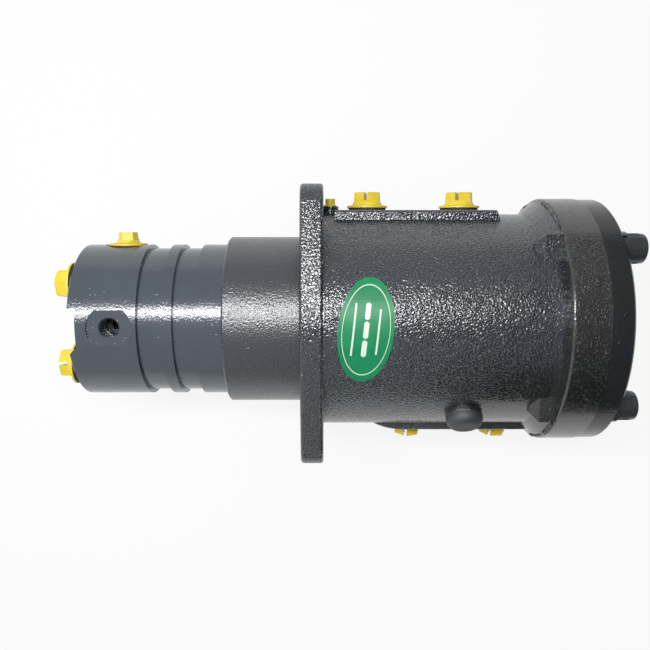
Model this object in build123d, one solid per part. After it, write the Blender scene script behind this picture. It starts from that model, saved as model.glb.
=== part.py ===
from build123d import *
import os
from math import acos, cos, degrees, radians, sin, sqrt

# Hydraulic rotary union (centre swivel joint) of an excavator, in millimetres.
# +X runs along the turning axis, from the stem's head to the end cover; +Y and +Z lie across it.
# The origin is on the turning axis, in the mounting face of the four-eared flange.

# Mounting flange and locating spigot
flange_thickness = 14.0
flange_hub_step = 1.0
ear_radius = 14.0
ear_spacing_y = 146.0
ear_spacing_z = 82.0
ear_hole_diameter = 13.5
flange_edge_round = 2.0
spigot_diameter = 110.0
spigot_length = 47.6
spigot_edge_chamfer = 1.0

# Cast barrel and its end flange
barrel_radius = 70.0
rim_step = 10.0
rim_length = 22.3
rim_behind_last_seal = 4.75
rim_edge_round = 1.6
shoulder_length = 9.5
shoulder_below_rim = 1.4
lug_block_length = 14.5
lug_block_chamfer = 5.0

# Port pads on the barrel; pads and bosses are rooted this deep in its wall
root_depth = 10.0
pad_step = 2.0
pad_width = 48.0
pad_edge_round = 2.0
pad_runout_radius = 40.0
top_pad_angle = 0.0
top_pad_start = 21.0
top_pad_margin = 19.6
bottom_pad_angle = 190.0
bottom_pad_margin = 6.5
pad_end_slope = 4.5

# Fluid channels: one pilot channel, then the main channels at an even pitch
pilot_channel_x = 18.5
first_channel_x = 43.0
channel_pitch = 30.5
main_channels = 4
channel_width = 14.0
channel_depth = 4.0
pilot_channel_width = 6.0
channel_drill_diameter = 12.0

# Blank boss and bleed boss of the casting
blank_boss_x = 102.0
blank_boss_angle = 142.0
blank_boss_diameter = 23.0
blank_boss_step = 9.0
blank_boss_round = 5.5
bleed_boss_diameter = 11.0
bleed_boss_step = 5.0
bleed_port_diameter = 5.0
bleed_port_depth = 8.0
bleed_drill_diameter = 3.0

# Stem
shank_diameter = 80.0
head_diameter = 100.0
head_groove_depth = 2.5
head_gap = 0.5
land_length = 16.5
inner_groove_length = 13.7
ring_length = 6.7
outer_groove_length = 15.0
head_length = 42.0
head_edge_chamfer = 0.8
side_port_inset = 25.5
slot_width = 24.0
slot_depth = 5.0
slot_bevel = 4.7
face_port_radius = 36.0
face_port_angles = (45.0, 135.0, 225.0, 315.0)
gallery_radius = 29.0
gallery_diameter = 12.0
drain_gallery_diameter = 10.0
pilot_gallery_diameter = 6.0
pilot_gallery_radius = 12.0
cross_hole_diameter = 11.0
gallery_overrun = 6.0

# Threaded ports: tapping diameter, depth and spot face
main_port_diameter = 19.0
main_port_depth = 18.0
drain_port_diameter = 15.2
drain_port_depth = 16.0
drain_spot_diameter = 29.0
drain_spot_depth = 2.0
pilot_port_diameter = 11.45
pilot_port_depth = 16.0
pilot_port_chamfer = 0.9
pilot_spot_diameter = 28.0
pilot_spot_depth = 1.2

# Seals, bush and thrust parts inside
running_clearance = 0.05
seal_width = 4.2
slipper_wall = 2.4
seal_groove_depth = 6.0
dust_seal_width = 5.0
dust_seal_wall = 6.0
bush_length = 26.0
bush_wall = 3.0
bush_inset = 9.0
seal_land = 3.0
chamber_step = 10.0
washer_thickness = 3.0
thrust_gap = 0.3
washer_side_gap = 1.0
thrust_plate_clearance = 1.5
thrust_plate_thickness = 12.0
thrust_screw_radius = 26.0
thrust_screw_thread = 10.0
thrust_screw_grip = 18.0
thrust_screw_hole = 11.0
thrust_screws_count = 4
thrust_screw_socket = 8.0
thrust_screw_socket_depth = 5.0
thrust_head_round = 0.0
thrust_head_diameter = 16.0
thrust_head_height = 10.0
thrust_head_recess = 6.0
thrust_head_clearance = 1.0
gallery_plug_length = 9.0
gallery_plug_diameter = 14.0
pilot_gallery_plug_diameter = 8.0

# End cover and its screws
cover_inset = 0.5
cover_thickness = 13.6
cover_edge_chamfer = 1.2
cover_seal_wall = 2.6
cover_seal_section = 3.2
cover_bolt_edge = 12.0
cover_bolts = 4
cover_bolt_angle = 45.0
cover_screw_thread = 12.0
cover_screw_hole = 13.5
cover_screw_grip = 16.0
cover_head_diameter = 18.0
cover_head_height = 12.0
cover_head_round = 1.6
cover_head_socket = 10.0
cover_head_socket_depth = 6.0
spring_washer_diameter = 20.5
spring_washer_thickness = 3.0
spring_washer_split = 2.0

# Transport plugs: skirt, hexagon head with a slot through two corners, and plain shank
main_plug_skirt_diameter = 26.6
main_plug_head_across = 16.8
main_plug_height = 10.1
main_plug_seal = 2.0
drain_plug_skirt_diameter = 25.0
drain_plug_head_across = 12.2
drain_plug_height = 8.8
drain_plug_seal = 1.3
plug_skirt_thickness = 1.2
plug_flare_height = 2.4
plug_head_taper = 3.0
plug_slot_width = 2.2
plug_shank_length = 9.0
plug_seal_inset = 1.0
plug_flare_lip = 0.8
plug_flare_foot = 0.7
plug_slot_floor = 1.1
plug_edge_chamfer = 0.8
bleed_cap_skirt_diameter = 8.4
bleed_cap_head_diameter = 6.4
bleed_cap_height = 5.0
bleed_cap_shank_length = 6.0
bleed_cap_skirt_thickness = 0.8
bleed_cap_flare = 0.6

# Clearances of parts that are fitted by hand or by thread
fit_clearance = 0.05
seat_clearance = 0.1
washer_clearance = 0.2

# Radii and heights above the axis, worked out from the sizes above
shank_radius = shank_diameter / 2
bore_radius = shank_radius + running_clearance
chamber_radius = shank_radius + chamber_step
cover_seal_radius = chamber_radius + cover_seal_wall
thrust_plate_radius = chamber_radius - thrust_plate_clearance
head_radius = head_diameter / 2
groove_radius = head_radius - head_groove_depth
drain_seat_height = head_radius - drain_spot_depth
pilot_seat_height = head_radius - pilot_spot_depth
flange_hub_radius = barrel_radius + flange_hub_step
rim_radius = barrel_radius + rim_step
shoulder_end_radius = rim_radius - shoulder_below_rim
lug_block_width = rim_radius * sqrt(2)
cover_radius = rim_radius - cover_inset
cover_bolt_radius = rim_radius - cover_bolt_edge
pad_height = barrel_radius + pad_step
blank_boss_height = barrel_radius + blank_boss_step
bleed_boss_height = barrel_radius + bleed_boss_step

# Places along the axis, worked out from the sizes above
channel_places = [first_channel_x + channel_pitch * n for n in range(main_channels)]
seal_places = [
    pilot_channel_x - (first_channel_x - pilot_channel_x) / 2,
    (pilot_channel_x + first_channel_x) / 2,
] + [place + channel_pitch / 2 for place in channel_places]
shoulder_x = seal_places[-1] + seal_width / 2 + seal_land
washer_end_x = shoulder_x + washer_thickness
stem_inner_x = washer_end_x + thrust_gap
barrel_end_x = seal_places[-1] + rim_behind_last_seal
housing_end_x = barrel_end_x + rim_length
cover_end_x = housing_end_x + cover_thickness
stem_shoulder_x = -spigot_length - head_gap
inner_groove_x = stem_shoulder_x - land_length
ring_x = inner_groove_x - inner_groove_length
outer_groove_x = ring_x - ring_length
head_x = outer_groove_x - outer_groove_length
stem_face_x = head_x - head_length
side_port_x = stem_face_x + side_port_inset
mouth_x = -spigot_length
bush_x = mouth_x + bush_inset


def turned(*corners):
    """Body of revolution about the turning axis, from corners (x, radius)."""
    return revolve(make_face(Polyline(*corners, close=True).edges()), Axis.X)


def ring(start, end, inner, outer):
    """Plain ring about the turning axis, between two places and two radii."""
    return turned((start, inner), (end, inner), (end, outer), (start, outer))


def radial(x, angle, height):
    """Plane square to a radius: the angle runs from +Y towards +Z, and the normal points outwards."""
    y, z = cos(radians(angle)), sin(radians(angle))
    return Plane(origin=(x, height * y, height * z), x_dir=(1, 0, 0), z_dir=(0, y, z))


def axial(x, angle, radius, facing):
    """Plane square to the axis, off it by a radius, whose normal faces +X or -X."""
    y, z = cos(radians(angle)), sin(radians(angle))
    return Plane(origin=(x, radius * y, radius * z), x_dir=(0, y, z), z_dir=(facing, 0, 0))


def rod(plane, diameter, length):
    """Cylinder that starts in the plane and runs along its normal; a negative length runs inwards."""
    side = Align.MIN if length > 0 else Align.MAX
    return plane * Cylinder(diameter / 2, abs(length), align=(Align.CENTER, Align.CENTER, side))


drain_seat = radial(side_port_x, 0, drain_seat_height)
pilot_seat = radial(side_port_x, 90, pilot_seat_height)


def evenly(count, first=0.0):
    """Angles of a full circle of equal steps."""
    return [first + 360 * n / count for n in range(count)]


def rim_of(part, x, radius):
    """Circular edges of a part at one place on the axis and one radius."""
    edges = part.edges().filter_by(GeomType.CIRCLE)
    return edges.filter_by(lambda e: abs(e.center().X - x) < 1e-3 and abs(e.radius - radius) < 1e-3)


def mounting_flange():
    """Four-eared flange: the straight flanks run tangent from each ear to the round hub."""
    ears = [(y * ear_spacing_y / 2, z * ear_spacing_z / 2) for y in (-1, 1) for z in (-1, 1)]
    circles = [Circle(flange_hub_radius).edge()]
    circles += [(Location((y, z)) * Circle(ear_radius)).edge() for y, z in ears]
    outline = Plane.YZ * make_hull(circles)
    plate = extrude(outline, flange_thickness)
    plate = fillet(plate.edges().filter_by(lambda e: abs(e.center().X) < 1e-3), flange_edge_round)
    back = plate.edges().filter_by(lambda e: abs(e.center().X - flange_thickness) < 1e-3)
    plate = fillet(back, flange_edge_round)
    for y, z in ears:
        plate -= rod(Plane.YZ * Location((y, z, 0)), ear_hole_diameter, flange_thickness)
    return plate


def port_pad(angle, start, end, runout):
    """Flat pad on the barrel, square to a radius; it ends in a slope, and starts in an arc or a wall."""
    foot = barrel_radius - root_depth
    outline = Polyline((start, pad_height), (end, pad_height), (end + pad_end_slope, foot))
    if runout > 0:
        turn = degrees(acos(1 - (pad_height - foot) / runout))
        arc = CenterArc((start, pad_height - runout), runout, 90, turn)
        outline += [arc, Line(arc @ 1, outline @ 1)]
    else:
        outline += Polyline((end + pad_end_slope, foot), (start, foot), (start, pad_height))
    pad = extrude(make_face(outline.edges()), pad_width / 2, both=True)
    long_edges = pad.edges().filter_by(Axis.X).sort_by(Axis.Y)[-2:]
    pad = fillet(long_edges, pad_edge_round)
    return Rot(X=angle) * pad


def end_flange():
    """Rim, conical shoulders above and below, and the corners of a square block between them."""
    rim = turned(
        (barrel_end_x, 0), (housing_end_x, 0), (housing_end_x, rim_radius), (barrel_end_x, rim_radius)
    )
    rim = fillet(rim_of(rim, barrel_end_x, rim_radius), rim_edge_round)
    cone_start = barrel_end_x - shoulder_length
    cone = turned(
        (cone_start, 0),
        (barrel_end_x + rim_edge_round, 0),
        (barrel_end_x + rim_edge_round, shoulder_end_radius),
        (barrel_end_x, shoulder_end_radius),
        (cone_start, barrel_radius),
    )
    middle = Pos(X=barrel_end_x) * Box(6 * shoulder_length, lug_block_width, 4 * rim_radius)
    block = Box(lug_block_length + rim_edge_round, lug_block_width, lug_block_width)
    block = chamfer(block.faces().sort_by(Axis.X)[0].edges(), lug_block_chamfer)
    block = Pos(X=barrel_end_x + (rim_edge_round - lug_block_length) / 2) * block
    cylinder = turned(
        (barrel_end_x - lug_block_length, 0),
        (barrel_end_x + rim_edge_round, 0),
        (barrel_end_x + rim_edge_round, rim_radius),
        (barrel_end_x - lug_block_length, rim_radius),
    )
    return rim + (cone - middle) + (block & cylinder)


def bore():
    """Everything turned out of the housing from its two ends."""
    hollow = ring(mouth_x, shoulder_x, 0, bore_radius)
    hollow += ring(mouth_x, mouth_x + dust_seal_width, 0, bore_radius + dust_seal_wall)
    hollow += ring(bush_x, bush_x + bush_length, 0, bore_radius + bush_wall)
    widths = [pilot_channel_width] + [channel_width] * main_channels
    for place, width in zip([pilot_channel_x] + channel_places, widths):
        hollow += ring(place - width / 2, place + width / 2, 0, bore_radius + channel_depth)
    for place in seal_places:
        hollow += ring(place - seal_width / 2, place + seal_width / 2, 0, bore_radius + seal_groove_depth)
    hollow += ring(shoulder_x, housing_end_x, 0, chamber_radius)
    seal = cover_seal_section + seat_clearance
    groove = ring(housing_end_x - seal, housing_end_x, cover_seal_radius, cover_seal_radius + seal)
    return hollow + groove


def body_ports():
    """Main ports as (x, angle): odd channels open through the top pad, even ones through the bottom."""
    angles = (top_pad_angle, bottom_pad_angle)
    return [(place, angles[n % 2]) for n, place in enumerate(channel_places)]


def blank_boss():
    """Round boss with no port, its edge well rounded."""
    root = radial(blank_boss_x, blank_boss_angle, barrel_radius - root_depth)
    boss = rod(root, blank_boss_diameter, blank_boss_height - barrel_radius + root_depth)
    outside = radial(blank_boss_x, blank_boss_angle, 2 * blank_boss_height).origin
    return fillet(boss.edges().sort_by_distance(outside)[0], blank_boss_round)


def housing():
    """Cast housing: spigot, flange, barrel with pads and bosses, and the end flange."""
    body = turned(
        (-spigot_length, 0),
        (-spigot_length, spigot_diameter / 2 - spigot_edge_chamfer),
        (-spigot_length + spigot_edge_chamfer, spigot_diameter / 2),
        (0, spigot_diameter / 2),
        (flange_thickness / 2, spigot_diameter / 2),
        (flange_thickness / 2, barrel_radius),
        (barrel_end_x + rim_edge_round, barrel_radius),
        (barrel_end_x + rim_edge_round, 0),
    )
    top_ports = [x for x, angle in body_ports() if angle == top_pad_angle]
    bottom_ports = [x for x, angle in body_ports() if angle == bottom_pad_angle]
    body += mounting_flange()
    body += end_flange()
    body += port_pad(top_pad_angle, top_pad_start, top_ports[-1] + top_pad_margin, 0)
    body += port_pad(bottom_pad_angle, bottom_ports[0] - bottom_pad_margin, barrel_end_x, pad_runout_radius)
    body += blank_boss()
    bleed = radial(pilot_channel_x, top_pad_angle, bleed_boss_height)
    body += rod(bleed, bleed_boss_diameter, barrel_radius - root_depth - bleed_boss_height)
    body -= bore()
    for x, angle in body_ports():
        seat = radial(x, angle, pad_height)
        body -= rod(seat, main_port_diameter, -main_port_depth)
        body -= rod(seat, channel_drill_diameter, bore_radius - pad_height)
    body -= rod(bleed, bleed_port_diameter, -bleed_port_depth)
    body -= rod(bleed, bleed_drill_diameter, bore_radius - bleed_boss_height)
    for angle in evenly(cover_bolts, cover_bolt_angle):
        hole = axial(housing_end_x, angle, cover_bolt_radius, 1)
        body -= rod(hole, cover_screw_thread + 2 * fit_clearance, -cover_screw_grip - seat_clearance)
    return body


def stem():
    """Stem: ported head with two grooves, and the shank that turns in the housing."""
    body = turned(
        (stem_face_x, 0),
        (stem_face_x, head_radius - head_edge_chamfer),
        (stem_face_x + head_edge_chamfer, head_radius),
        (head_x, head_radius),
        (head_x, groove_radius),
        (outer_groove_x, groove_radius),
        (outer_groove_x, head_radius),
        (ring_x, head_radius),
        (ring_x, groove_radius),
        (inner_groove_x, groove_radius),
        (inner_groove_x, head_radius),
        (stem_shoulder_x, head_radius),
        (stem_shoulder_x, shank_radius),
        (stem_inner_x, shank_radius),
        (stem_inner_x, 0),
    )
    return body - slot() - stem_ports() - galleries()


def slot():
    """Driving slot right across the end face, with a lead-in bevel along its lower side."""
    outline = Polyline(
        (stem_face_x, -slot_width / 2 - slot_bevel),
        (stem_face_x + slot_depth, -slot_width / 2),
        (stem_face_x + slot_depth, slot_width / 2),
        (stem_face_x, slot_width / 2),
        close=True,
    )
    return extrude(make_face(outline.edges()), head_radius, both=True)


def stem_ports():
    """Four main ports in the end face, the drain port on top and the pilot port in front."""
    cut = Part()
    for angle in face_port_angles:
        cut += rod(axial(stem_face_x, angle, face_port_radius, -1), main_port_diameter, -main_port_depth)
    cut += rod(drain_seat, drain_spot_diameter, drain_spot_depth)
    cut += rod(drain_seat, drain_port_diameter, -drain_port_depth)
    cut += rod(drain_seat, drain_gallery_diameter, -drain_seat_height)
    cut += rod(pilot_seat, pilot_spot_diameter, pilot_spot_depth)
    wide = pilot_port_diameter / 2 + pilot_port_chamfer
    narrow = pilot_port_diameter / 2
    down = (Align.CENTER, Align.CENTER, Align.MAX)
    cut += pilot_seat * Cone(narrow, wide, pilot_port_chamfer, align=down)
    cut += rod(pilot_seat, pilot_port_diameter, -pilot_port_depth)
    return cut + rod(pilot_seat, pilot_gallery_diameter, pilot_gallery_radius - pilot_seat_height)


def galleries():
    """Long drillings from the inner end, their cross holes to the channels, and the screw holes."""
    cut = Part()
    port_floor = stem_face_x + main_port_depth
    for angle, place in zip(face_port_angles, channel_places):
        end = axial(stem_inner_x, angle, gallery_radius, 1)
        cut += rod(end, gallery_diameter, port_floor - gallery_overrun - stem_inner_x)
        cut += rod(end, gallery_plug_diameter + 2 * fit_clearance, -gallery_plug_length)
        cut += rod(radial(place, angle, gallery_radius), cross_hole_diameter, shank_radius)
    cut += rod(axial(stem_inner_x, 0, 0, 1), drain_gallery_diameter, side_port_x - stem_inner_x)
    end = axial(stem_inner_x, 90, pilot_gallery_radius, 1)
    cut += rod(end, pilot_gallery_diameter, side_port_x - stem_inner_x)
    cut += rod(end, pilot_gallery_plug_diameter + 2 * fit_clearance, -gallery_plug_length)
    cut += rod(radial(pilot_channel_x, 90, pilot_gallery_radius), pilot_gallery_diameter, shank_radius)
    for angle in evenly(thrust_screws_count):
        hole = axial(stem_inner_x, angle, thrust_screw_radius, 1)
        cut += rod(hole, thrust_screw_thread + 2 * fit_clearance, -thrust_screw_grip - seat_clearance)
    return cut


def gallery_plugs():
    """Pressed plugs that close the long drillings behind the thrust plate."""
    plugs = [
        rod(axial(stem_inner_x, angle, gallery_radius, 1), gallery_plug_diameter, -gallery_plug_length)
        for angle in face_port_angles
    ]
    pilot = axial(stem_inner_x, 90, pilot_gallery_radius, 1)
    return plugs + [rod(pilot, pilot_gallery_plug_diameter, -gallery_plug_length)]


def cap_screw(thread, grip, head_diameter, head_height, socket, socket_depth, head_round):
    """Socket-head cap screw: its head stands on z = 0 and its shank runs down."""
    head = Cylinder(head_diameter / 2, head_height, align=(Align.CENTER, Align.CENTER, Align.MIN))
    if head_round > 0:
        head = fillet(head.edges().sort_by(Axis.Z)[-1], head_round)
    shank = Cylinder(thread / 2, grip, align=(Align.CENTER, Align.CENTER, Align.MAX))
    shank = chamfer(shank.edges().sort_by(Axis.Z)[0], thread / 12)
    hexagon = RegularPolygon(socket / 2, 6, major_radius=False)
    key = extrude(Pos(Z=head_height) * hexagon, -socket_depth)
    return head + shank - key


def thrust_plate():
    """Plate on the stem's inner end, with recesses for its screws and a drain hole."""
    end_x = stem_inner_x + thrust_plate_thickness
    plate = ring(stem_inner_x, end_x, drain_gallery_diameter / 2, thrust_plate_radius)
    for angle in evenly(thrust_screws_count):
        face = axial(end_x, angle, thrust_screw_radius, 1)
        plate -= rod(face, thrust_screw_hole, -thrust_plate_thickness)
        plate -= rod(face, thrust_head_diameter + 2 * thrust_head_clearance, -thrust_head_recess)
    return plate


def thrust_screws():
    """Four cap screws that hold the thrust plate to the stem."""
    grip = thrust_screw_grip + thrust_plate_thickness - thrust_head_recess
    screw = cap_screw(
        thrust_screw_thread, grip, thrust_head_diameter, thrust_head_height,
        thrust_screw_socket, thrust_screw_socket_depth, thrust_head_round,
    )
    seat_x = stem_inner_x + thrust_plate_thickness - thrust_head_recess
    return [axial(seat_x, angle, thrust_screw_radius, 1) * screw for angle in evenly(thrust_screws_count)]


def end_cover():
    """Machined cover plate with clearance holes for its screws."""
    cover = turned(
        (housing_end_x, 0),
        (housing_end_x, cover_radius),
        (cover_end_x - cover_edge_chamfer, cover_radius),
        (cover_end_x, cover_radius - cover_edge_chamfer),
        (cover_end_x, 0),
    )
    for angle in evenly(cover_bolts, cover_bolt_angle):
        cover -= rod(axial(cover_end_x, angle, cover_bolt_radius, 1), cover_screw_hole, -cover_thickness)
    return cover


def cover_screws():
    """Cap screws of the cover, their heads on spring washers."""
    grip = cover_screw_grip + cover_thickness + spring_washer_thickness
    screw = cap_screw(
        cover_screw_thread, grip, cover_head_diameter, cover_head_height,
        cover_head_socket, cover_head_socket_depth, cover_head_round,
    )
    seat_x = cover_end_x + spring_washer_thickness
    angles = evenly(cover_bolts, cover_bolt_angle)
    return [axial(seat_x, angle, cover_bolt_radius, 1) * screw for angle in angles]


def spring_washers():
    """Split spring washers under the cover screws."""
    height = spring_washer_thickness
    washer = Cylinder(spring_washer_diameter / 2, height)
    washer -= Cylinder(cover_screw_thread / 2 + washer_clearance, height)
    washer -= Pos(X=spring_washer_diameter / 2) * Box(spring_washer_diameter, spring_washer_split, height)
    washer = Pos(Z=height / 2) * washer
    angles = evenly(cover_bolts, cover_bolt_angle)
    return [axial(cover_end_x, angle, cover_bolt_radius, 1) * washer for angle in angles]


def transport_plug(skirt, across, height, seal, bore_size):
    """Plastic port plug that stands on z = 0: shank, skirt, flare and slotted hexagon head."""
    shank = bore_size / 2 - seat_clearance
    foot = across / 2 + plug_flare_foot
    skirt_top = seal + plug_skirt_thickness
    flare_top = skirt_top + plug_flare_height
    outline = Polyline(
        (0, -plug_shank_length),
        (shank - plug_edge_chamfer, -plug_shank_length),
        (shank, plug_edge_chamfer - plug_shank_length),
        (shank, seal),
        (skirt / 2, seal),
        (skirt / 2, skirt_top),
        (foot + plug_flare_lip, skirt_top + plug_flare_height / 3),
        (foot, flare_top),
        (0, flare_top),
        close=True,
    )
    body = revolve(Plane.XZ * make_face(outline.edges()), Axis.Z)
    hexagon = RegularPolygon(across / 2, 6, major_radius=False)
    head = extrude(Pos(Z=skirt_top) * hexagon, seal + height - skirt_top, taper=plug_head_taper)
    slot_floor = Pos(Z=flare_top + plug_slot_floor)
    up = (Align.CENTER, Align.CENTER, Align.MIN)
    return body + (head - slot_floor * Box(2 * across, plug_slot_width, height, align=up))


def plug_seal(skirt, seal, bore_size):
    """Flat ring under the skirt of a transport plug."""
    flat = Circle(skirt / 2 - plug_seal_inset) - Circle(bore_size / 2)
    return extrude(flat, seal)


def on_seats(shape, seats):
    """One copy of a shape on each seat plane."""
    return [seat * shape for seat in seats]


def face_seats(clocking):
    """Seats of the end-face plugs, each turned about its own axis."""
    return [
        axial(stem_face_x, angle, face_port_radius, -1) * Rot(Z=clocking * (n + 1))
        for n, angle in enumerate(face_port_angles)
    ]


def body_seats(angle, clocking):
    """Seats of the plugs on one pad, each turned about its own axis."""
    ports = [x for x, port_angle in body_ports() if port_angle == angle]
    return [radial(x, angle, pad_height) * Rot(Z=90 + clocking * (n + 1)) for n, x in enumerate(ports)]


main_plug = transport_plug(
    main_plug_skirt_diameter, main_plug_head_across, main_plug_height, main_plug_seal, main_port_diameter
)
main_seal = plug_seal(main_plug_skirt_diameter, main_plug_seal, main_port_diameter)
drain_plug = transport_plug(
    drain_plug_skirt_diameter, drain_plug_head_across, drain_plug_height, drain_plug_seal,
    drain_port_diameter,
)
drain_seal = plug_seal(drain_plug_skirt_diameter, drain_plug_seal, drain_port_diameter)


def bleed_cap():
    """Small push-in cap on the bleed boss."""
    shank = bleed_port_diameter / 2 - seat_clearance
    outline = Polyline(
        (0, -bleed_cap_shank_length),
        (shank, -bleed_cap_shank_length),
        (shank, 0),
        (bleed_cap_skirt_diameter / 2, 0),
        (bleed_cap_skirt_diameter / 2, bleed_cap_skirt_thickness),
        (bleed_cap_head_diameter / 2, bleed_cap_skirt_thickness + bleed_cap_flare),
        (bleed_cap_head_diameter / 2, bleed_cap_height),
        (0, bleed_cap_height),
        close=True,
    )
    cap = revolve(Plane.XZ * make_face(outline.edges()), Axis.Z)
    return radial(pilot_channel_x, top_pad_angle, bleed_boss_height) * cap


def groove_rings(inner, outer):
    """One ring in each seal groove of the housing."""
    half = seal_width / 2 - seat_clearance / 2
    return [ring(place - half, place + half, inner, outer) for place in seal_places]


groove_floor = bore_radius + seal_groove_depth
slipper_outer = bore_radius + slipper_wall

nodes = {
    "housing": [housing()],
    "bearing_bush": [ring(bush_x, bush_x + bush_length, bore_radius, bore_radius + bush_wall)],
    "dust_seal": [ring(mouth_x, mouth_x + dust_seal_width, bore_radius, bore_radius + dust_seal_wall)],
    "slipper_seals": groove_rings(bore_radius, slipper_outer),
    "seal_energisers": groove_rings(slipper_outer, groove_floor),
    "thrust_washer": [ring(shoulder_x, washer_end_x, bore_radius, chamber_radius - washer_side_gap)],
    "cover_seal": [
        ring(
            housing_end_x - cover_seal_section, housing_end_x,
            cover_seal_radius + seat_clearance / 2, cover_seal_radius + cover_seal_section,
        )
    ],
    "end_cover": [end_cover()],
    "cover_screws": cover_screws(),
    "cover_spring_washers": spring_washers(),
    "bleed_cap": [bleed_cap()],
    "top_port_plugs": on_seats(main_plug, body_seats(top_pad_angle, -10)),
    "top_port_seals": on_seats(main_seal, body_seats(top_pad_angle, 0)),
    "bottom_port_plugs": on_seats(main_plug, body_seats(bottom_pad_angle, 14)),
    "bottom_port_seals": on_seats(main_seal, body_seats(bottom_pad_angle, 0)),
    "stem": [stem()],
    "thrust_plate": [thrust_plate()],
    "thrust_plate_screws": thrust_screws(),
    "gallery_plugs": gallery_plugs(),
    "face_port_plugs": on_seats(main_plug, face_seats(25)),
    "face_port_seals": on_seats(main_seal, face_seats(0)),
    "drain_port_plug": [drain_seat * Rot(Z=10) * drain_plug],
    "drain_port_seal": [drain_seat * drain_seal],
}

os.makedirs("parts", exist_ok=True)
for name, shapes in nodes.items():
    solids = [solid for shape in shapes for solid in shape.solids()]
    whole = Compound(label=name, children=solids) if len(solids) > 1 else solids[0]
    export_step(whole, f"parts/{name}.step")
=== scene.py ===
"""Dresses the hydraulic rotary union: its paints, plugs and seals, the label, the port thread, the knurled
screw heads and the casting's flash, on a pale studio floor.

Lengths are in metres, in the frame of the solids. A span is two values, of a noise or a place, between which
something runs from 0 to 1. A noise's size is how far apart its lumps lie, and a share is how much it counts.
"""

import logging
import math
from dataclasses import dataclass
from enum import Enum
from typing import Any, Optional, Union

import bmesh
import bpy
from mathutils import Matrix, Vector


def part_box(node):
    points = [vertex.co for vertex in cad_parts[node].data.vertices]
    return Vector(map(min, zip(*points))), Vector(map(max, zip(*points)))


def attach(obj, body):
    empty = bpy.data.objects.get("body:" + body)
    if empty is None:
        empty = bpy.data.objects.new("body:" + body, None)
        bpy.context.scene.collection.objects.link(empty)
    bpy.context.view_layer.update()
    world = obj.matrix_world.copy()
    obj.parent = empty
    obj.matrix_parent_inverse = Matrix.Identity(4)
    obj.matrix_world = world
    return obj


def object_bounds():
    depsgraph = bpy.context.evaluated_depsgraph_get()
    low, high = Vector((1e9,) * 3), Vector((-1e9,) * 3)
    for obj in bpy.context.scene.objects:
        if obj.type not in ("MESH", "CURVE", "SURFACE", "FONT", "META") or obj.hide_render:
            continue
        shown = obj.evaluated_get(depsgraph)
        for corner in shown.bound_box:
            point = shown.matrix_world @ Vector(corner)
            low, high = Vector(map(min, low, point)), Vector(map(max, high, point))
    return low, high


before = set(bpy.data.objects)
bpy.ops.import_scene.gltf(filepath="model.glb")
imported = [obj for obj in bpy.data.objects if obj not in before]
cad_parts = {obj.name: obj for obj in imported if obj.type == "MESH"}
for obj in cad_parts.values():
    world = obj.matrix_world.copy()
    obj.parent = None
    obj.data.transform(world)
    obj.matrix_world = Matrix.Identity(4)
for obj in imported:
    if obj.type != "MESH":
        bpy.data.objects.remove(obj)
CAD_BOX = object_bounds()

Colour = tuple[float, float, float]
Span = tuple[float, float]
Point = tuple[float, float]
Sockets = dict[str, bpy.types.NodeSocket]
Value = Union["Wire", float]

logging.basicConfig(level=logging.INFO, format="%(message)s")
log = logging.getLogger("rotary_union")

MM = 0.001
WHITE: Colour = (1.0, 1.0, 1.0)
CLOUD_SPAN: Span = (0.35, 0.70)  # of the noise, where a finish's two colours run into each other
MERGE_DISTANCE = 1e-7
SHARP_ANGLE = math.radians(40)
ONTO_AXIS = (0.0, math.radians(90), 0.0)  # lays a shape that stands about Z along the swivel axis


class Body(Enum):
    """The two bodies that turn against each other."""

    HOUSING = "housing"
    STEM = "stem"


class Slot(Enum):
    """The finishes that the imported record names."""

    CAST = "cast_paint"
    MACHINED = "machined_paint"
    COVER = "cover_paint"
    SCREW = "screw_paint"
    YELLOW = "yellow_plastic"
    RUBBER = "rubber"
    SLIPPER = "ptfe"
    BRONZE = "bronze"
    STEEL = "plain_steel"


# ---------------------------------------------------------------- node trees


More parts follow.
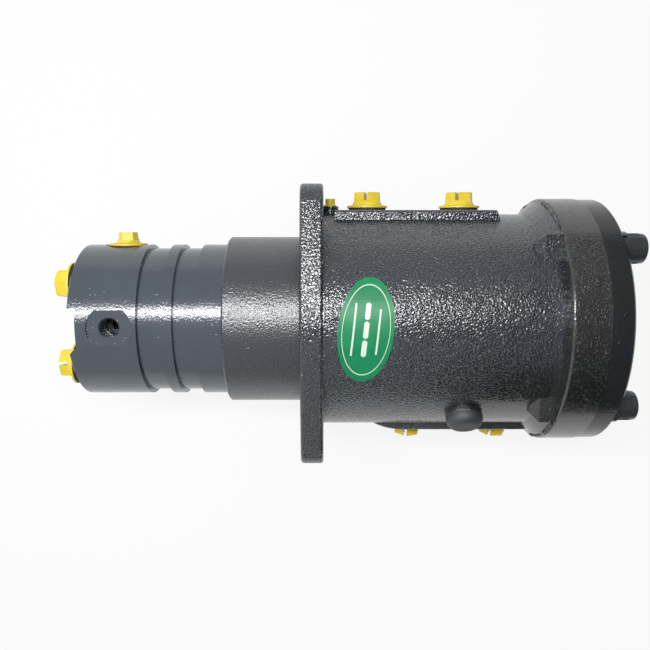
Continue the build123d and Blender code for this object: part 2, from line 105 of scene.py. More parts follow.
class Wire:
    """A socket that carries a value and adds Math nodes as it is reckoned with."""

    def __init__(self, graph: "Graph", socket: bpy.types.NodeSocket) -> None:
        """Keeps the socket and the tree it belongs to."""
        self.graph = graph
        self.socket = socket

    def _math(self, operation: str, *values: Value, clamp: bool = False) -> "Wire":
        """Adds one Math node.

        Args:
            operation: the Math node's operation.
            values: its operands, in order.
            clamp: whether the result is held to 0..1.

        Returns:
            The node's result.
        """
        node = self.graph.node(
            "ShaderNodeMath", {"operation": operation, "use_clamp": clamp}, dict(enumerate(values))
        )
        return Wire(self.graph, node.outputs[0])

    def __add__(self, other: Value) -> "Wire":
        """This plus the other."""
        return self._math("ADD", self, other)

    def __radd__(self, other: Value) -> "Wire":
        """The other plus this."""
        return self._math("ADD", other, self)

    def __sub__(self, other: Value) -> "Wire":
        """This less the other."""
        return self._math("SUBTRACT", self, other)

    def __rsub__(self, other: Value) -> "Wire":
        """The other less this."""
        return self._math("SUBTRACT", other, self)

    def __mul__(self, other: Value) -> "Wire":
        """This times the other."""
        return self._math("MULTIPLY", self, other)

    def __rmul__(self, other: Value) -> "Wire":
        """The other times this."""
        return self._math("MULTIPLY", other, self)

    def __truediv__(self, other: Value) -> "Wire":
        """This over the other."""
        return self._math("DIVIDE", self, other)

    def __abs__(self) -> "Wire":
        """The size of this, without its sign."""
        return self._math("ABSOLUTE", self)

    def wave(self) -> "Wire":
        """The sine of this."""
        return self._math("SINE", self)

    def root(self) -> "Wire":
        """The square root of this."""
        return self._math("SQRT", self)

    def held(self) -> "Wire":
        """This, held to 0..1."""
        return self._math("ADD", self, 0.0, clamp=True)

    def most(self, other: Value) -> "Wire":
        """The larger of this and the other."""
        return self._math("MAXIMUM", self, other)

    def ramp(self, low: float, high: float) -> "Wire":
        """A smooth step from 0 at low to 1 at high.

        Args:
            low: the value that gives 0.
            high: the value that gives 1; below low, the step falls.

        Returns:
            The step.
        """
        settings = {"interpolation_type": "SMOOTHSTEP"}
        if high < low:
            values = {"Value": self, "From Min": high, "From Max": low, "To Min": 1.0, "To Max": 0.0}
        else:
            values = {"Value": self, "From Min": low, "From Max": high}
        return Wire(self.graph, self.graph.node("ShaderNodeMapRange", settings, values).outputs[0])


class Graph:
    """A node tree, of a material, the world or Geometry Nodes, that is written out in code."""

    def __init__(self, tree: bpy.types.NodeTree) -> None:
        """Empties the tree and keeps it."""
        tree.nodes.clear()
        self.tree = tree

    def node(
        self,
        kind: str,
        settings: Optional[dict[str, Any]] = None,
        inputs: Optional[dict[Union[str, int], Any]] = None,
    ) -> bpy.types.Node:
        """Adds one node.

        Args:
            kind: the node's type.
            settings: its own settings, which are set before any socket.
            inputs: the value or link of each socket, by its name or place.

        Returns:
            The node.
        """
        made = self.tree.nodes.new(kind)
        for name, value in (settings or {}).items():
            setattr(made, name, value)
        for key, value in (inputs or {}).items():
            socket = made.inputs[key]
            if isinstance(value, Wire):
                self.tree.links.new(value.socket, socket)
            elif isinstance(value, bpy.types.NodeSocket):
                self.tree.links.new(value, socket)
            elif isinstance(value, tuple) and socket.type == "RGBA":
                socket.default_value = (*value[:3], 1.0)
            else:
                socket.default_value = value
        return made


class Coat(Graph):
    """A material's tree, with the textures that the finishes share."""

    def __init__(self, name: str) -> None:
        """Makes an empty material.

        Args:
            name: the material's name.
        """
        self.material = bpy.data.materials.new(name)
        self.material.use_nodes = True
        super().__init__(self.material.node_tree)
        self.place = self.node("ShaderNodeTexCoord").outputs["Object"]
        split = self.node("ShaderNodeSeparateXYZ", inputs={"Vector": self.place})
        self.x = Wire(self, split.outputs["X"])
        self.y = Wire(self, split.outputs["Y"])
        self.z = Wire(self, split.outputs["Z"])

    def grain(self, size: float, detail: float = 2.0, roughness: float = 0.5) -> Wire:
        """Cloudy noise from 0 to 1, with lumps of that size under finer layers, so many and so strong."""
        values = {"Vector": self.place, "Scale": 1 / size, "Detail": detail, "Roughness": roughness}
        return Wire(self, self.node("ShaderNodeTexNoise", None, values).outputs[0])

    def blend(self, share: Wire, first: Any, second: Any) -> bpy.types.NodeSocket:
        """Mixes two colours, or the sockets of two, by how much of the second shows."""
        node = self.node("ShaderNodeMix", {"data_type": "RGBA"}, {0: share, 6: first, 7: second})
        return node.outputs[2]

    def bump(self, height: Wire, distance: float, strength: float = 1.0) -> bpy.types.NodeSocket:
        """The normal that a height from 0 to 1 gives, where 1 stands that distance above 0."""
        values = {"Strength": strength, "Distance": distance, "Height": height}
        return self.node("ShaderNodeBump", None, values).outputs[0]

    def finish(self, **sockets: Any) -> bpy.types.Material:
        """Ends the material in one shader.

        Args:
            sockets: the shader's sockets, with _ for a space.

        Returns:
            The material.
        """
        values = {name.replace("_", " "): value for name, value in sockets.items()}
        shader = self.node("ShaderNodeBsdfPrincipled", None, values)
        self.node("ShaderNodeOutputMaterial", None, {"Surface": shader.outputs[0]})
        return self.material


# ------------------------------------------------------------------ finishes


@dataclass(frozen=True)
class TurnedPaint:
    """Grey enamel sprayed over a turned face: a fine speckle, with a dust nib here and there."""

    name: str = "paint_on_turned_steel"
    colour: Colour = (0.045, 0.060, 0.078)
    shade: Colour = (0.039, 0.052, 0.070)
    speckle: float = 1.25 * MM
    speckle_height: float = 0.13 * MM
    nib: float = 2.6 * MM
    nib_span: Span = (0.70, 0.80)
    nib_share: float = 0.8
    cloud: float = 28 * MM
    roughness: float = 0.135
    gloss_cloud: float = 14 * MM
    gloss_spread: float = 0.07
    specular: float = 1.0

    def height(self, coat: Coat) -> Wire:
        """The speckle's height, with the nibs on it."""
        nibs = coat.grain(self.nib, detail=1.0).ramp(*self.nib_span)
        return coat.grain(self.speckle, detail=2.0, roughness=0.55) + self.nib_share * nibs

    def tone(self, coat: Coat) -> bpy.types.NodeSocket:
        """The paint's colour, a little darker in clouds."""
        return coat.blend(coat.grain(self.cloud, detail=3.0).ramp(*CLOUD_SPAN), self.colour, self.shade)

    def gloss(self, coat: Coat) -> Wire:
        """The roughness, which follows the spray's clouds."""
        return self.roughness + self.gloss_spread * coat.grain(self.gloss_cloud)

    def material(self) -> bpy.types.Material:
        """Builds the finish.

        Returns:
            The material.
        """
        coat = Coat(self.name)
        return coat.finish(
            Base_Color=self.tone(coat),
            Roughness=self.gloss(coat),
            Specular_IOR_Level=self.specular,
            Normal=coat.bump(self.height(coat), self.speckle_height),
        )


@dataclass(frozen=True)
class CastPaint:
    """The same enamel over rough cast iron: it pools between the sand's lumps, and each lump glints."""

    name: str = "paint_on_casting"
    colour: Colour = (0.020, 0.027, 0.036)
    pool: Colour = (0.016, 0.022, 0.030)
    # painted shade: the near-black colour that the rim end and the lower barrel are darkened towards
    end_painted_shade: Colour = (0.006, 0.007, 0.007)
    tone_span: Span = (0.50, 1.05)
    lump: float = 1.25 * MM
    lump_height: float = 0.43 * MM
    wave: float = 6 * MM
    wave_share: float = 0.35
    nib: float = 1.05 * MM
    nib_span: Span = (0.55, 0.68)
    nib_share: float = 0.55
    spark: float = 1.15 * MM
    spark_span: Span = (0.67, 0.74)
    spark_share: float = 1.10
    roughness: float = 0.10
    gloss_cloud: float = 16 * MM
    gloss_spread: float = 0.06
    specular: float = 0.9
    density: float = 1.65
    face_span: Span = (0.2 * MM, 0.6 * MM)
    end_span: Span = (152 * MM, 156 * MM)
    end_calm: float = 0.80
    end_nibs: float = 0.50
    end_haze: float = 0.08
    spigot_haze: float = 0.11
    spigot_rough: float = 2.5
    spigot_colour: Colour = (0.018, 0.026, 0.034)
    low_along: Span = (70 * MM, 126 * MM)
    low_down: Span = (-6 * MM, -34 * MM)
    low_calm: float = 0.74
    # painted shade: how far the colour low on the barrel is darkened towards near-black
    low_painted_shade: float = 0.85
    boss_x: float = 102 * MM
    boss_turn: float = math.radians(142)
    boss_edge: Span = (13.1 * MM, 12.3 * MM)
    boss_foot: Span = (71 * MM, 72.5 * MM)
    boss_calm: float = 0.90
    boss_haze: float = 0.52

    def lumps(self, coat: Coat) -> Wire:
        """The height of the sand's lumps and of the wider waves under them."""
        fine = coat.grain(self.lump, detail=1.0, roughness=0.4)
        return fine + self.wave_share * coat.grain(self.wave, detail=1.0)

    def nibs(self, coat: Coat) -> Wire:
        """Finds the height of the sharper nibs on the lumps, and of the few that stand out alone.

        Args:
            coat: the material's tree.

        Returns:
            The height.
        """
        many = coat.grain(self.nib, detail=0.0).ramp(*self.nib_span)
        few = coat.grain(self.spark, detail=0.0).ramp(*self.spark_span)
        return self.nib_share * many + self.spark_share * few

    def low(self, coat: Coat) -> Wire:
        """How far the paint has run together and levelled, low on the barrel towards its end; the same mask
        darkens the colour there as painted shade.
        """
        return coat.x.ramp(*self.low_along) * coat.y.ramp(*self.low_down)

    def boss(self, coat: Coat) -> Wire:
        """Marks the blank boss, which was dressed smooth.

        Args:
            coat: the material's tree.

        Returns:
            1 on the boss and 0 off it.
        """
        out = coat.y * math.cos(self.boss_turn) + coat.z * math.sin(self.boss_turn)
        side = coat.y * math.sin(self.boss_turn) - coat.z * math.cos(self.boss_turn)
        away = ((coat.x - self.boss_x) * (coat.x - self.boss_x) + side * side).root()
        return away.ramp(*self.boss_edge) * out.ramp(*self.boss_foot)

    def material(self) -> bpy.types.Material:
        """Builds the finish, with the turned spigot's own paint up to the flange face and painted shade at
        the end.

        Returns:
            The material.
        """
        coat = Coat(self.name)
        turned = TurnedPaint()
        cast = coat.x.ramp(*self.face_span)
        lumps, nibs = self.lumps(coat), self.nibs(coat)
        tone = coat.blend((lumps + nibs).ramp(*self.tone_span), self.pool, self.colour)
        far, low, boss = coat.x.ramp(*self.end_span), self.low(coat), self.boss(coat)
        # painted shade: the rim end, and the barrel low towards its end, are darkened towards a near-black
        # colour
        tone = coat.blend(far.most(self.low_painted_shade * low), tone, self.end_painted_shade)
        rough = lumps * (1 - self.end_calm * far) + nibs * (1 - self.end_nibs * far)
        rough = rough * (1 - self.boss_calm * boss) * (1 - self.low_calm * low)
        plain = turned.height(coat) * (self.spigot_rough * turned.speckle_height / self.lump_height)
        gloss = self.roughness + self.gloss_spread * coat.grain(self.gloss_cloud)
        gloss = gloss + (self.end_haze * far).most(self.boss_haze * boss)
        return coat.finish(
            Base_Color=coat.blend(cast, self.spigot_colour, tone),
            Roughness=gloss * cast + (turned.gloss(coat) + self.spigot_haze) * (1 - cast),
            Specular_IOR_Level=self.specular,
            IOR=self.density,
            Normal=coat.bump(rough * cast + plain * (1 - cast), self.lump_height),
        )


@dataclass(frozen=True)
class Moulding:
    """Soft moulded plastic or rubber, with a faint cloud in its colour and a fine skin."""

    name: str
    colour: Colour
    shade: Colour
    roughness: float
    cloud: float = 5 * MM
    cloud_span: Span = (0.30, 0.72)
    gloss_cloud: float = 3 * MM
    gloss_spread: float = 0.12
    skin: float = 0.9 * MM
    skin_height: float = 0.02 * MM
    specular: float = 0.5

    def material(self) -> bpy.types.Material:
        """Builds the finish.

        Returns:
            The material.
        """
        coat = Coat(self.name)
        cloud = coat.grain(self.cloud, detail=3.0, roughness=0.55)
        return coat.finish(
            Base_Color=coat.blend(cloud.ramp(*self.cloud_span), self.colour, self.shade),
            Roughness=self.roughness + self.gloss_spread * coat.grain(self.gloss_cloud),
            Specular_IOR_Level=self.specular,
            Normal=coat.bump(coat.grain(self.skin), self.skin_height),
        )


@dataclass(frozen=True)
class TurnedMetal:
    """Bare metal with the fine rings of a lathe about the swivel axis."""

    name: str
    colour: Colour
    shade: Colour
    roughness: float
    pitch: float = 0.35 * MM
    ring_height: float = 0.008 * MM
    ring_strength: float = 0.6
    stain: float = 11 * MM
    stain_haze: float = 0.15

    def material(self) -> bpy.types.Material:
        """Builds the finish.

        Returns:
            The material.
        """
        coat = Coat(self.name)
        radius = (coat.y * coat.y + coat.z * coat.z).root()
        rings = ((coat.x + radius) * (2 * math.pi / self.pitch)).wave()
        stain = coat.grain(self.stain, detail=4.0, roughness=0.6)
        return coat.finish(
            Base_Color=coat.blend(stain.ramp(*CLOUD_SPAN), self.colour, self.shade),
            Metallic=1.0,
            Roughness=self.roughness + self.stain_haze * stain,
            Normal=coat.bump(0.5 * rings + 0.5, self.ring_height, self.ring_strength),
        )


@dataclass(frozen=True)
class LabelVinyl:
    """Green vinyl with a pale oval line and blank printed bars. It reads the label's own map, in which
    1 is half the label's width across and half its length along. A bar is its place across, its start and
    end along and half its width, in millimetres."""

    half_width: float
    half_length: float
    name: str = "green_vinyl"
    oval: float = 0.85
    oval_edge: Span = (0.016, 0.006)
    bar_edge: float = 0.12 * MM
    bars: tuple[tuple[float, float, float, float], ...] = (
        (0.0, -14.0, -7.0, 1.5),
        (0.0, -3.0, 4.0, 1.5),
        (0.0, 8.0, 15.0, 1.5),
        (-7.2, -15.0, 15.0, 0.55),
        (7.2, -13.0, 13.0, 0.55),
    )
    green: Colour = (0.005, 0.245, 0.090)
    deep: Colour = (0.004, 0.200, 0.075)
    ink: Colour = (0.66, 0.76, 0.66)
    cloud: float = 9 * MM
    roughness: float = 0.34
    gloss_cloud: float = 6 * MM
    gloss_spread: float = 0.08
    ripple: float = 2.4 * MM
    ripple_height: float = 0.10 * MM
    ripple_strength: float = 0.7
    specular: float = 0.4

    def stroke(self, across: Wire, along: Wire, start: Point, end: Point, half: float) -> Wire:
        """Draws a straight stroke of ink with round ends.

        Args:
            across: the distance across the label.
            along: the distance along the label.
            start: one end of the stroke.
            end: the other end.
            half: half the stroke's width.

        Returns:
            1 on the stroke and 0 off it.
        """
        run = (end[0] - start[0], end[1] - start[1])
        length = run[0] ** 2 + run[1] ** 2
        share = (((across - start[0]) * run[0] + (along - start[1]) * run[1]) / length).held()
        gap_a = across - (share * run[0] + start[0])
        gap_b = along - (share * run[1] + start[1])
        away = (gap_a * gap_a + gap_b * gap_b).root()
        return away.ramp(half + self.bar_edge, half - self.bar_edge)

    def material(self) -> bpy.types.Material:
        """Builds the finish.

        Returns:
            The material.
        """
        coat = Coat(self.name)
        own = coat.node("ShaderNodeUVMap", {"uv_map": "label"})
        split = coat.node("ShaderNodeSeparateXYZ", inputs={"Vector": own.outputs[0]})
        u, v = Wire(coat, split.outputs["X"]), Wire(coat, split.outputs["Y"])
        across, along = u * self.half_width, v * self.half_length
        ink = abs((u * u + v * v).root() - self.oval).ramp(*self.oval_edge)
        for place, start, end, half in self.bars:
            a, b = (place * MM, start * MM), (place * MM, end * MM)
            ink = ink.most(self.stroke(across, along, a, b, half * MM))
        clouds = coat.grain(self.cloud, detail=3.0).ramp(*CLOUD_SPAN)
        return coat.finish(
            Base_Color=coat.blend(ink, coat.blend(clouds, self.green, self.deep), self.ink),
            Roughness=self.roughness + self.gloss_spread * coat.grain(self.gloss_cloud),
            Specular_IOR_Level=self.specular,
            Normal=coat.bump(coat.grain(self.ripple), self.ripple_height, self.ripple_strength),
        )


# -------------------------------------------------------------------- pieces


def add_piece(
    mesh: bpy.types.Mesh, name: str, body: Body, material: bpy.types.Material
) -> None:
    """Puts a finished mesh in the scene, riding on its body.

    Args:
        mesh: the mesh, in its place.
        name: the piece's name.
        body: the body it moves with.
        material: its finish.
    """
    piece = bpy.data.objects.new(name, mesh)
    bpy.context.scene.collection.objects.link(piece)
    mesh.materials.clear()
    mesh.materials.append(material)
    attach(piece, body.value)
    mesh.calc_loop_triangles()
    log.info("piece %s on %s, %d triangles", name, body.value, len(mesh.loop_triangles))


def smooth_mesh(shape: bmesh.types.BMesh, name: str) -> bpy.types.Mesh:
    """Turns a finished shell into a mesh.

    Args:
        shape: the shell, which is freed.
        name: the mesh's name.

    Returns:
        The mesh, shaded smooth but for its sharp edges.
    """
    mesh = bpy.data.meshes.new(name)
    shape.to_mesh(mesh)
    shape.free()
    mesh.shade_smooth()
    mesh.set_sharp_from_angle(angle=SHARP_ANGLE)
    return mesh


@dataclass
class GrownPiece:
    """A piece that a Geometry Nodes tree grows, which is then made a plain mesh."""

    name: str
    inputs: dict[str, float]

    def tree(self, graph: Graph, sizes: Sockets) -> bpy.types.NodeSocket:
        """Writes the nodes between the sizes and the geometry, and returns the geometry's socket."""
        raise NotImplementedError

    def grow(self, material: bpy.types.Material) -> bpy.types.Mesh:
        """Runs the tree once.

        Args:
            material: the finish that the tree sets.

        Returns:
            The plain mesh.
        """
        group = bpy.data.node_groups.new(self.name, "GeometryNodeTree")
        for name, value in self.inputs.items():
            kind = "NodeSocketInt" if isinstance(value, int) else "NodeSocketFloat"
            group.interface.new_socket(name, in_out="INPUT", socket_type=kind)
        group.interface.new_socket("Geometry", in_out="OUTPUT", socket_type="NodeSocketGeometry")
        graph = Graph(group)
        sizes = {s.name: s for s in graph.node("NodeGroupInput").outputs if s.name}
        real = graph.node("GeometryNodeRealizeInstances", None, {0: self.tree(graph, sizes)})
        coat = {"Geometry": real.outputs[0], "Material": material}
        painted = graph.node("GeometryNodeSetMaterial", None, coat)
        graph.node("NodeGroupOutput", None, {0: painted.outputs[0]})
        carrier = bpy.data.objects.new(self.name + "_carrier", bpy.data.meshes.new(self.name + "_seed"))
        bpy.context.scene.collection.objects.link(carrier)
        modifier = carrier.modifiers.new("grow", "NODES")
        modifier.node_group = group
        for item in group.interface.items_tree:
            if item.in_out == "INPUT":
                modifier[item.identifier] = self.inputs[item.name]
        ready = carrier.evaluated_get(bpy.context.evaluated_depsgraph_get())
        mesh = bpy.data.meshes.new_from_object(ready)
        carrier.modifiers.remove(modifier)
        bpy.data.objects.remove(carrier)
        return mesh


@dataclass
class PortThread(GrownPiece):
    """The thread that shows in the open pilot port: a ridge that winds along its wall."""

    steps: int = 40
    corners: int = 3

    def tree(self, graph: Graph, sizes: Sockets) -> bpy.types.NodeSocket:
        """Sweeps a triangular section along a spiral.

        Args:
            graph: the tree.
            sizes: the tree's inputs, by name.

        Returns:
            The ridge.
        """
        spiral = graph.node(
            "GeometryNodeCurveSpiral",
            None,
            {
                "Resolution": self.steps,
                "Rotations": sizes["Turns"],
                "Start Radius": sizes["Radius"],
                "End Radius": sizes["Radius"],
                "Height": sizes["Height"],
            },
        )
        section = graph.node(
            "GeometryNodeCurvePrimitiveCircle",
            {"mode": "RADIUS"},
            {"Resolution": self.corners, "Radius": sizes["Ridge"]},
        )
        swept = graph.node(
            "GeometryNodeCurveToMesh",
            None,
            {"Curve": spiral.outputs[0], "Profile Curve": section.outputs[0], "Fill Caps": True},
        )
        return swept.outputs[0]


@dataclass
class FlashBead(GrownPiece):
    """A bead of casting flash along an arc of the end flange's edge, uneven as it left the mould. Its
    thickness is a share of the bead's radius: swell times a noise less dip, and thin at both ends."""

    steps: int = 72
    corners: int = 10
    noise_scale: float = 420.0
    noise_detail: float = 3.0
    swell: float = 2.4
    dip: float = 0.4
    thin: float = 0.12
    taper: float = 9.0

    def tree(self, graph: Graph, sizes: Sockets) -> bpy.types.NodeSocket:
        """Sweeps a round section of uneven thickness along an arc about the swivel axis.

        Args:
            graph: the tree.
            sizes: the tree's inputs, by name.

        Returns:
            The bead, in its place.
        """
        arc = graph.node(
            "GeometryNodeCurveArc",
            {"mode": "RADIUS"},
            {
                "Resolution": self.steps,
                "Radius": sizes["Radius"],
                "Start Angle": sizes["Start"],
                "Sweep Angle": sizes["Sweep"],
            },
        )
        spot = graph.node("GeometryNodeInputPosition").outputs[0]
        shake = {"Vector": spot, "W": sizes["Seed"], "Scale": self.noise_scale, "Detail": self.noise_detail}
        noisy = graph.node("ShaderNodeTexNoise", {"noise_dimensions": "4D"}, shake)
        along = Wire(graph, graph.node("GeometryNodeSplineParameter").outputs["Factor"])
        ends = (along * (1.0 - along) * self.taper).held()
        thick = (Wire(graph, noisy.outputs[0]) * self.swell - self.dip) * ends + self.thin
        section = graph.node(
            "GeometryNodeCurvePrimitiveCircle",
            {"mode": "RADIUS"},
            {"Resolution": self.corners, "Radius": sizes["Bead"]},
        )
        swept = graph.node(
            "GeometryNodeCurveToMesh",
            None,
            {"Curve": arc.outputs[0], "Profile Curve": section.outputs[0], "Scale": thick, "Fill Caps": True},
        )
        shift = graph.node("ShaderNodeCombineXYZ", None, {"X": sizes["Place"]})
        placed = graph.node(
            "GeometryNodeTransform",
            None,
            {"Geometry": swept.outputs[0], "Translation": shift.outputs[0], "Rotation": ONTO_AXIS},
        )
        return placed.outputs[0]


@dataclass
class HeadKnurl(GrownPiece):
    """The straight knurl round the heads of the cover's screws, all of them at once."""

    corners: int = 4
    first_screw: float = math.radians(45)

    def tree(self, graph: Graph, sizes: Sockets) -> bpy.types.NodeSocket:
        """Sets a ridge on each point of a ring, and that ring on each screw.

        Args:
            graph: the tree.
            sizes: the tree's inputs, by name.

        Returns:
            The ridges, in their place.
        """
        ridge = graph.node(
            "GeometryNodeMeshCylinder",
            None,
            {
                "Vertices": self.corners,
                "Side Segments": 1,
                "Radius": sizes["Ridge"],
                "Depth": sizes["Length"],
            },
        )
        ring = graph.node(
            "GeometryNodeMeshCircle", None, {"Vertices": sizes["Ridges"], "Radius": sizes["Head Radius"]}
        )
        head = graph.node(
            "GeometryNodeInstanceOnPoints", None, {"Points": ring.outputs[0], "Instance": ridge.outputs[0]}
        )
        stations = graph.node(
            "GeometryNodeMeshCircle", None, {"Vertices": sizes["Screws"], "Radius": sizes["Circle"]}
        )
        heads = graph.node(
            "GeometryNodeInstanceOnPoints", None, {"Points": stations.outputs[0], "Instance": head.outputs[0]}
        )
        turn = (0.0, 0.0, self.first_screw)
        between = graph.node("GeometryNodeTransform", None, {"Geometry": heads.outputs[0], "Rotation": turn})
        shift = graph.node("ShaderNodeCombineXYZ", None, {"X": sizes["Middle"]})
        placed = graph.node(
            "GeometryNodeTransform",
            None,
            {"Geometry": between.outputs[0], "Translation": shift.outputs[0], "Rotation": ONTO_AXIS},
        )
        return placed.outputs[0]


# -------------------------------------------------------------- sub-assemblies


@dataclass
class SubAssembly:
    """Solids that share a finish for each slot."""

    finishes: dict[Slot, bpy.types.Material]

    def dress(self, nodes: dict[Slot, tuple[str, ...]]) -> None:
        """Gives each solid its finish.

        Args:
            nodes: the names of the solids that take each slot's finish.
        """
        for slot, names in nodes.items():
            for name in names:
                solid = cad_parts[name]
                solid.material_slots[0].material = self.finishes[slot]
                log.info("solid %s wears %s", name, self.finishes[slot].name)


@dataclass
class Housing(SubAssembly):
    """The cast housing with its bush, seals and port plugs, and the label stuck round its barrel. An arc of
    flash is its start and end in degrees about the swivel axis and its bead's radius in millimetres."""

    barrel_radius: float = 70 * MM
    label_x: float = 38.7 * MM
    label_turn: float = math.radians(1.0)
    label_lean: float = math.radians(6.0)
    label_half_width: float = 16.3 * MM
    label_half_length: float = 32.0 * MM
    label_lift: float = 0.06 * MM
    label_thickness: float = 0.22 * MM
    label_rings: int = 14
    label_steps: int = 96
    flash_x: float = 154.2 * MM
    flash_radius: float = 78.7 * MM
    flash_seed_step: float = 3.0
    flash_arcs: tuple[tuple[float, float, float], ...] = (
        (49, 82, 1.15),
        (102, 130, 0.85),
        (-64, -47, 1.30),
        (-84, -66, 0.80),
        (-130, -100, 0.85),
    )

    def label_mesh(self) -> bpy.types.Mesh:
        """Builds the label as a thin closed shell wrapped round the barrel.

        Returns:
            The mesh, with its own map.
        """
        shape = bmesh.new()
        chart = shape.loops.layers.uv.new("label")
        place: dict[bmesh.types.BMVert, Point] = {}

        def point(ring: int, step: int, lift: float) -> bmesh.types.BMVert:
            """Makes one corner of the shell.

            Args:
                ring: how many rings from the middle it lies.
                step: how many steps round the ring it lies.
                lift: how far it stands off the barrel.

            Returns:
                The corner.
            """
            share, turn = ring / self.label_rings, 2 * math.pi * step / self.label_steps
            u, v = share * math.cos(turn), share * math.sin(turn)
            across, along = u * self.label_half_width, v * self.label_half_length
            lean_c, lean_s = math.cos(self.label_lean), math.sin(self.label_lean)
            side, rise = across * lean_c + along * lean_s, along * lean_c - across * lean_s
            radius = self.barrel_radius + lift
            angle = self.label_turn + rise / self.barrel_radius
            y, z = radius * math.sin(angle), radius * math.cos(angle)
            corner = shape.verts.new((self.label_x + side, y, z))
            place[corner] = (u, v)
            return corner

        sheets = []
        for lift in (self.label_lift, self.label_lift + self.label_thickness):
            middle = point(0, 0, lift)
            rings = [
                [point(ring, step, lift) for step in range(self.label_steps)]
                for ring in range(1, self.label_rings + 1)
            ]
            for s in range(self.label_steps):
                t = (s + 1) % self.label_steps
                shape.faces.new((middle, rings[0][s], rings[0][t]))
                for inner, outer in zip(rings, rings[1:]):
                    shape.faces.new((inner[s], outer[s], outer[t], inner[t]))
            sheets.append(rings[-1])
        for s in range(self.label_steps):
            t = (s + 1) % self.label_steps
            shape.faces.new((sheets[0][s], sheets[0][t], sheets[1][t], sheets[1][s]))
        bmesh.ops.recalc_face_normals(shape, faces=shape.faces)
        for face in shape.faces:
            for loop in face.loops:
                loop[chart].uv = place[loop.vert]
        return smooth_mesh(shape, "label")

    def flash_mesh(self) -> bpy.types.Mesh:
        """Grows each bead of flash on the rim's edge, where the shoulders meet it.

        Returns:
            All the beads in one mesh.
        """
        shape = bmesh.new()
        for number, (start, end, bead) in enumerate(self.flash_arcs):
            sizes = {
                "Radius": self.flash_radius,
                "Start": math.radians(180 - end),
                "Sweep": math.radians(end - start),
                "Bead": bead * MM,
                "Place": self.flash_x,
                "Seed": self.flash_seed_step * number,
            }
            mesh = FlashBead(f"flash_{number}", sizes).grow(self.finishes[Slot.CAST])
            shape.from_mesh(mesh)
            bpy.data.meshes.remove(mesh)
        bmesh.ops.remove_doubles(shape, verts=shape.verts, dist=MERGE_DISTANCE)
        bmesh.ops.recalc_face_normals(shape, faces=shape.faces)
        return smooth_mesh(shape, "casting_flash")

    def build(self) -> None:
        """Dresses the solids, leaves the flash on the casting and sticks the label on."""
        self.dress(
            {
                Slot.CAST: ("housing",),
                Slot.BRONZE: ("bearing_bush", "thrust_washer"),
                Slot.RUBBER: (
                    "dust_seal",
                    "seal_energisers",
                    "cover_seal",
                    "top_port_seals",
                    "bottom_port_seals",
                ),
                Slot.SLIPPER: ("slipper_seals",),
                Slot.YELLOW: ("bleed_cap", "top_port_plugs", "bottom_port_plugs"),
            }
        )
        vinyl = LabelVinyl(self.label_half_width, self.label_half_length).material()
        add_piece(self.label_mesh(), "label", Body.HOUSING, vinyl)
        add_piece(self.flash_mesh(), "casting_flash", Body.HOUSING, self.finishes[Slot.CAST])


@dataclass
class Stem(SubAssembly):
    """The stem with its thrust plate and plugs, and the thread in its open pilot port."""

    port_x: float = -116.6 * MM
    port_radius: float = 5.72 * MM
    thread_start: float = 33.6 * MM
    thread_height: float = 12.6 * MM
    thread_pitch: float = 1.337 * MM
    thread_ridge: float = 0.42 * MM

    def build(self) -> None:
        """Dresses the solids and cuts the thread's ridge."""
        self.dress(
            {
                Slot.MACHINED: ("stem",),
                Slot.STEEL: ("thrust_plate", "thrust_plate_screws", "gallery_plugs"),
                Slot.YELLOW: ("face_port_plugs", "drain_port_plug"),
                Slot.RUBBER: ("face_port_seals", "drain_port_seal"),
            }
        )
        paint = self.finishes[Slot.MACHINED]
        sizes = {
            "Turns": self.thread_height / self.thread_pitch,
            "Radius": self.port_radius,
            "Height": self.thread_height,
            "Ridge": self.thread_ridge,
        }
        mesh = PortThread("pilot_thread", sizes).grow(paint)
        mesh.transform(Matrix.Translation((self.port_x, 0.0, self.thread_start)))
        add_piece(mesh, "pilot_thread", Body.STEM, paint)


@dataclass
class EndCover(SubAssembly):
    """The turned end cover, its four screws on spring washers, and the knurl on their heads."""

    screw_circle: float = 68 * MM
    head_radius: float = 9 * MM
    head_length: float = 12 * MM
    screws: int = 4
    ridges: int = 44
    ridge: float = 0.20 * MM
    plain_foot: float = 0.6 * MM
    plain_top: float = 3.6 * MM

    def build(self) -> None:
        """Dresses the solids and knurls the heads, but for a plain band at each end."""
        self.dress({Slot.COVER: ("end_cover",), Slot.SCREW: ("cover_screws", "cover_spring_washers")})
        paint = self.finishes[Slot.SCREW]
        head_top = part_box("cover_screws")[1].x
        length = self.head_length - self.plain_foot - self.plain_top
        sizes = {
            "Ridges": self.ridges,
            "Screws": self.screws,
            "Ridge": self.ridge,
            "Length": length,
            "Head Radius": self.head_radius,
            "Circle": self.screw_circle,
            "Middle": head_top - self.plain_top - length / 2,
        }
        mesh = HeadKnurl("screw_knurl", sizes).grow(paint)
        add_piece(mesh, "screw_knurl", Body.HOUSING, paint)


# --------------------------------------------------------------------- studio


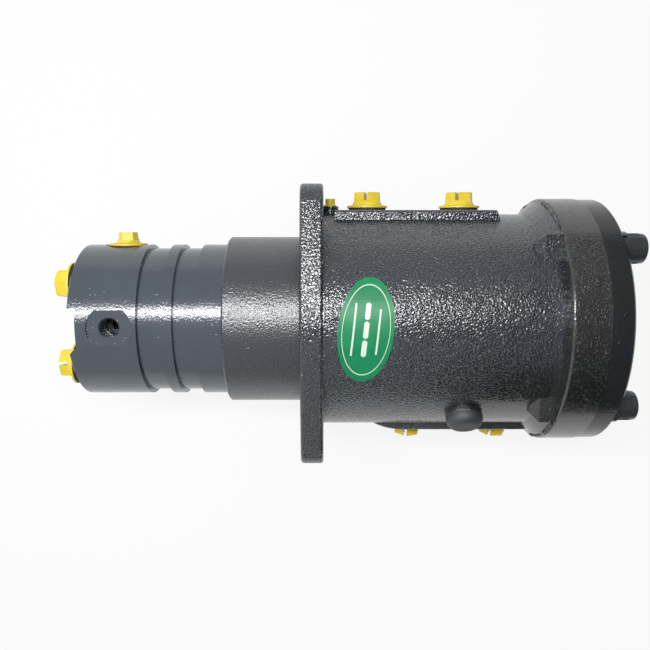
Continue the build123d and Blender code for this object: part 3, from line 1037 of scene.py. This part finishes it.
@dataclass
class Studio:
    """The pale floor, the long lamp, the room's soft light and the camera."""

    floor_z: float
    floor_half: float = 8.0
    floor_cells: int = 8
    floor_colour: Colour = (0.86, 0.86, 0.86)
    floor_white: float = 0.86
    key_place: tuple[float, float, float] = (-0.165, 0.19, 0.66)
    key_size: tuple[float, float] = (0.62, 0.088)
    key_power: float = 4.5
    bright_air: float = 0.62
    dim_air: float = 0.03
    air_lean: float = -1.0
    air_rise: float = 0.10
    air_side: float = 0.19
    air_span: Span = (-0.50, 0.10)
    eye: tuple[float, float, float] = (0.015, 0.0551, 0.4523)
    eye_tilt: float = math.radians(-7.5)
    lens: float = 37.1
    sensor: float = 36.0
    nearest: float = 10 * MM

    def floor(self) -> None:
        """Lays the floor, which is white to the eye, to gloss and to glass, with the shadow kept."""
        shape = bmesh.new()
        cells = self.floor_cells
        bmesh.ops.create_grid(shape, x_segments=cells, y_segments=cells, size=self.floor_half)
        bmesh.ops.translate(shape, verts=shape.verts, vec=(0.0, 0.0, self.floor_z))
        mesh = bpy.data.meshes.new("floor")
        shape.to_mesh(mesh)
        shape.free()
        coat = Coat("pale_floor")
        path = coat.node("ShaderNodeLightPath")
        seen = Wire(coat, path.outputs["Is Camera Ray"]).most(Wire(coat, path.outputs["Is Glossy Ray"]))
        seen = seen.most(Wire(coat, path.outputs["Is Transmission Ray"]))
        matt = coat.node("ShaderNodeBsdfDiffuse", None, {"Color": self.floor_colour})
        white = coat.node("ShaderNodeEmission", None, {"Color": WHITE, "Strength": 1.0})
        shares = {0: seen * self.floor_white, 1: matt.outputs[0], 2: white.outputs[0]}
        mixed = coat.node("ShaderNodeMixShader", None, shares)
        coat.node("ShaderNodeOutputMaterial", None, {"Surface": mixed.outputs[0]})
        mesh.materials.append(coat.material)
        floor = bpy.data.objects.new("floor", mesh)
        bpy.context.scene.collection.objects.link(floor)

    def strip_lamp(self) -> None:
        """Hangs a long lamp over the part, along its axis and facing it."""
        light = bpy.data.lights.new("strip", "AREA")
        light.shape, light.energy = "RECTANGLE", self.key_power
        light.size, light.size_y = self.key_size
        lamp = bpy.data.objects.new("strip", light)
        lamp.location = self.key_place
        lamp.rotation_euler = (-math.atan2(self.key_place[1], self.key_place[2]), 0.0, 0.0)
        bpy.context.scene.collection.objects.link(lamp)

    def air_light(self) -> None:
        """Lights the room softly, brightest towards the stem's head, and shows it white behind the part."""
        world = bpy.data.worlds.new("room")
        bpy.context.scene.world = world
        world.use_nodes = True
        graph = Graph(world.node_tree)
        path = graph.node("ShaderNodeLightPath")
        seen = Wire(graph, path.outputs["Is Camera Ray"])
        seen = seen.most(Wire(graph, path.outputs["Is Transmission Ray"]))
        toward = graph.node("ShaderNodeTexCoord").outputs["Generated"]
        split = graph.node("ShaderNodeSeparateXYZ", None, {"Vector": toward})
        x, y, z = (Wire(graph, split.outputs[axis]) for axis in "XYZ")
        lean = x * self.air_lean + z * self.air_rise + y * self.air_side
        air = lean.ramp(*self.air_span) * (self.bright_air - self.dim_air) + self.dim_air
        strength = seen * (1.0 - air) + air
        back = graph.node("ShaderNodeBackground", None, {"Color": WHITE, "Strength": strength})
        graph.node("ShaderNodeOutputWorld", None, {"Surface": back.outputs[0]})

    def camera(self) -> None:
        """Sets the camera up above the part, leaning a little towards it."""
        data = bpy.data.cameras.new("eye")
        data.lens, data.sensor_width, data.clip_start = self.lens, self.sensor, self.nearest
        eye = bpy.data.objects.new("eye", data)
        eye.location, eye.rotation_euler = self.eye, (self.eye_tilt, 0.0, 0.0)
        bpy.context.scene.collection.objects.link(eye)
        bpy.context.scene.camera = eye

    def build(self) -> None:
        """Sets the whole studio up."""
        bpy.context.scene.view_settings.view_transform = "Standard"
        self.floor()
        self.strip_lamp()
        self.air_light()
        self.camera()


def finishes() -> dict[Slot, bpy.types.Material]:
    """Builds each slot's finish once.

    Returns:
        The material of each slot.
    """
    dark, black = (0.034, 0.041, 0.045), (0.017, 0.020, 0.022)
    recipes = {
        Slot.CAST: CastPaint(),
        Slot.MACHINED: TurnedPaint(),
        Slot.COVER: TurnedPaint("paint_on_cover", black, (0.013, 0.015, 0.017), specular=0.45),
        Slot.SCREW: TurnedPaint("paint_on_screws", dark, (0.028, 0.034, 0.038), specular=0.6),
        Slot.YELLOW: Moulding("yellow_polyethylene", (0.80, 0.64, 0.052), (0.73, 0.56, 0.040), 0.34),
        Slot.RUBBER: Moulding("black_rubber", (0.018, 0.018, 0.020), (0.028, 0.028, 0.030), 0.62),
        Slot.SLIPPER: Moulding("slipper_compound", (0.20, 0.13, 0.08), (0.15, 0.10, 0.06), 0.48),
        Slot.BRONZE: TurnedMetal("turned_bronze", (0.55, 0.36, 0.16), (0.44, 0.28, 0.12), 0.30),
        Slot.STEEL: TurnedMetal("oiled_steel", (0.45, 0.45, 0.46), (0.34, 0.34, 0.35), 0.28),
    }
    return {slot: recipe.material() for slot, recipe in recipes.items()}


def main() -> None:
    """Builds each sub-assembly in turn, then the studio."""
    coats = finishes()
    for part in (Housing(coats), Stem(coats), EndCover(coats)):
        part.build()
        log.info("%s is built", type(part).__name__)
    Studio(floor_z=CAD_BOX[0][2]).build()


if __name__ == "__main__":
    main()
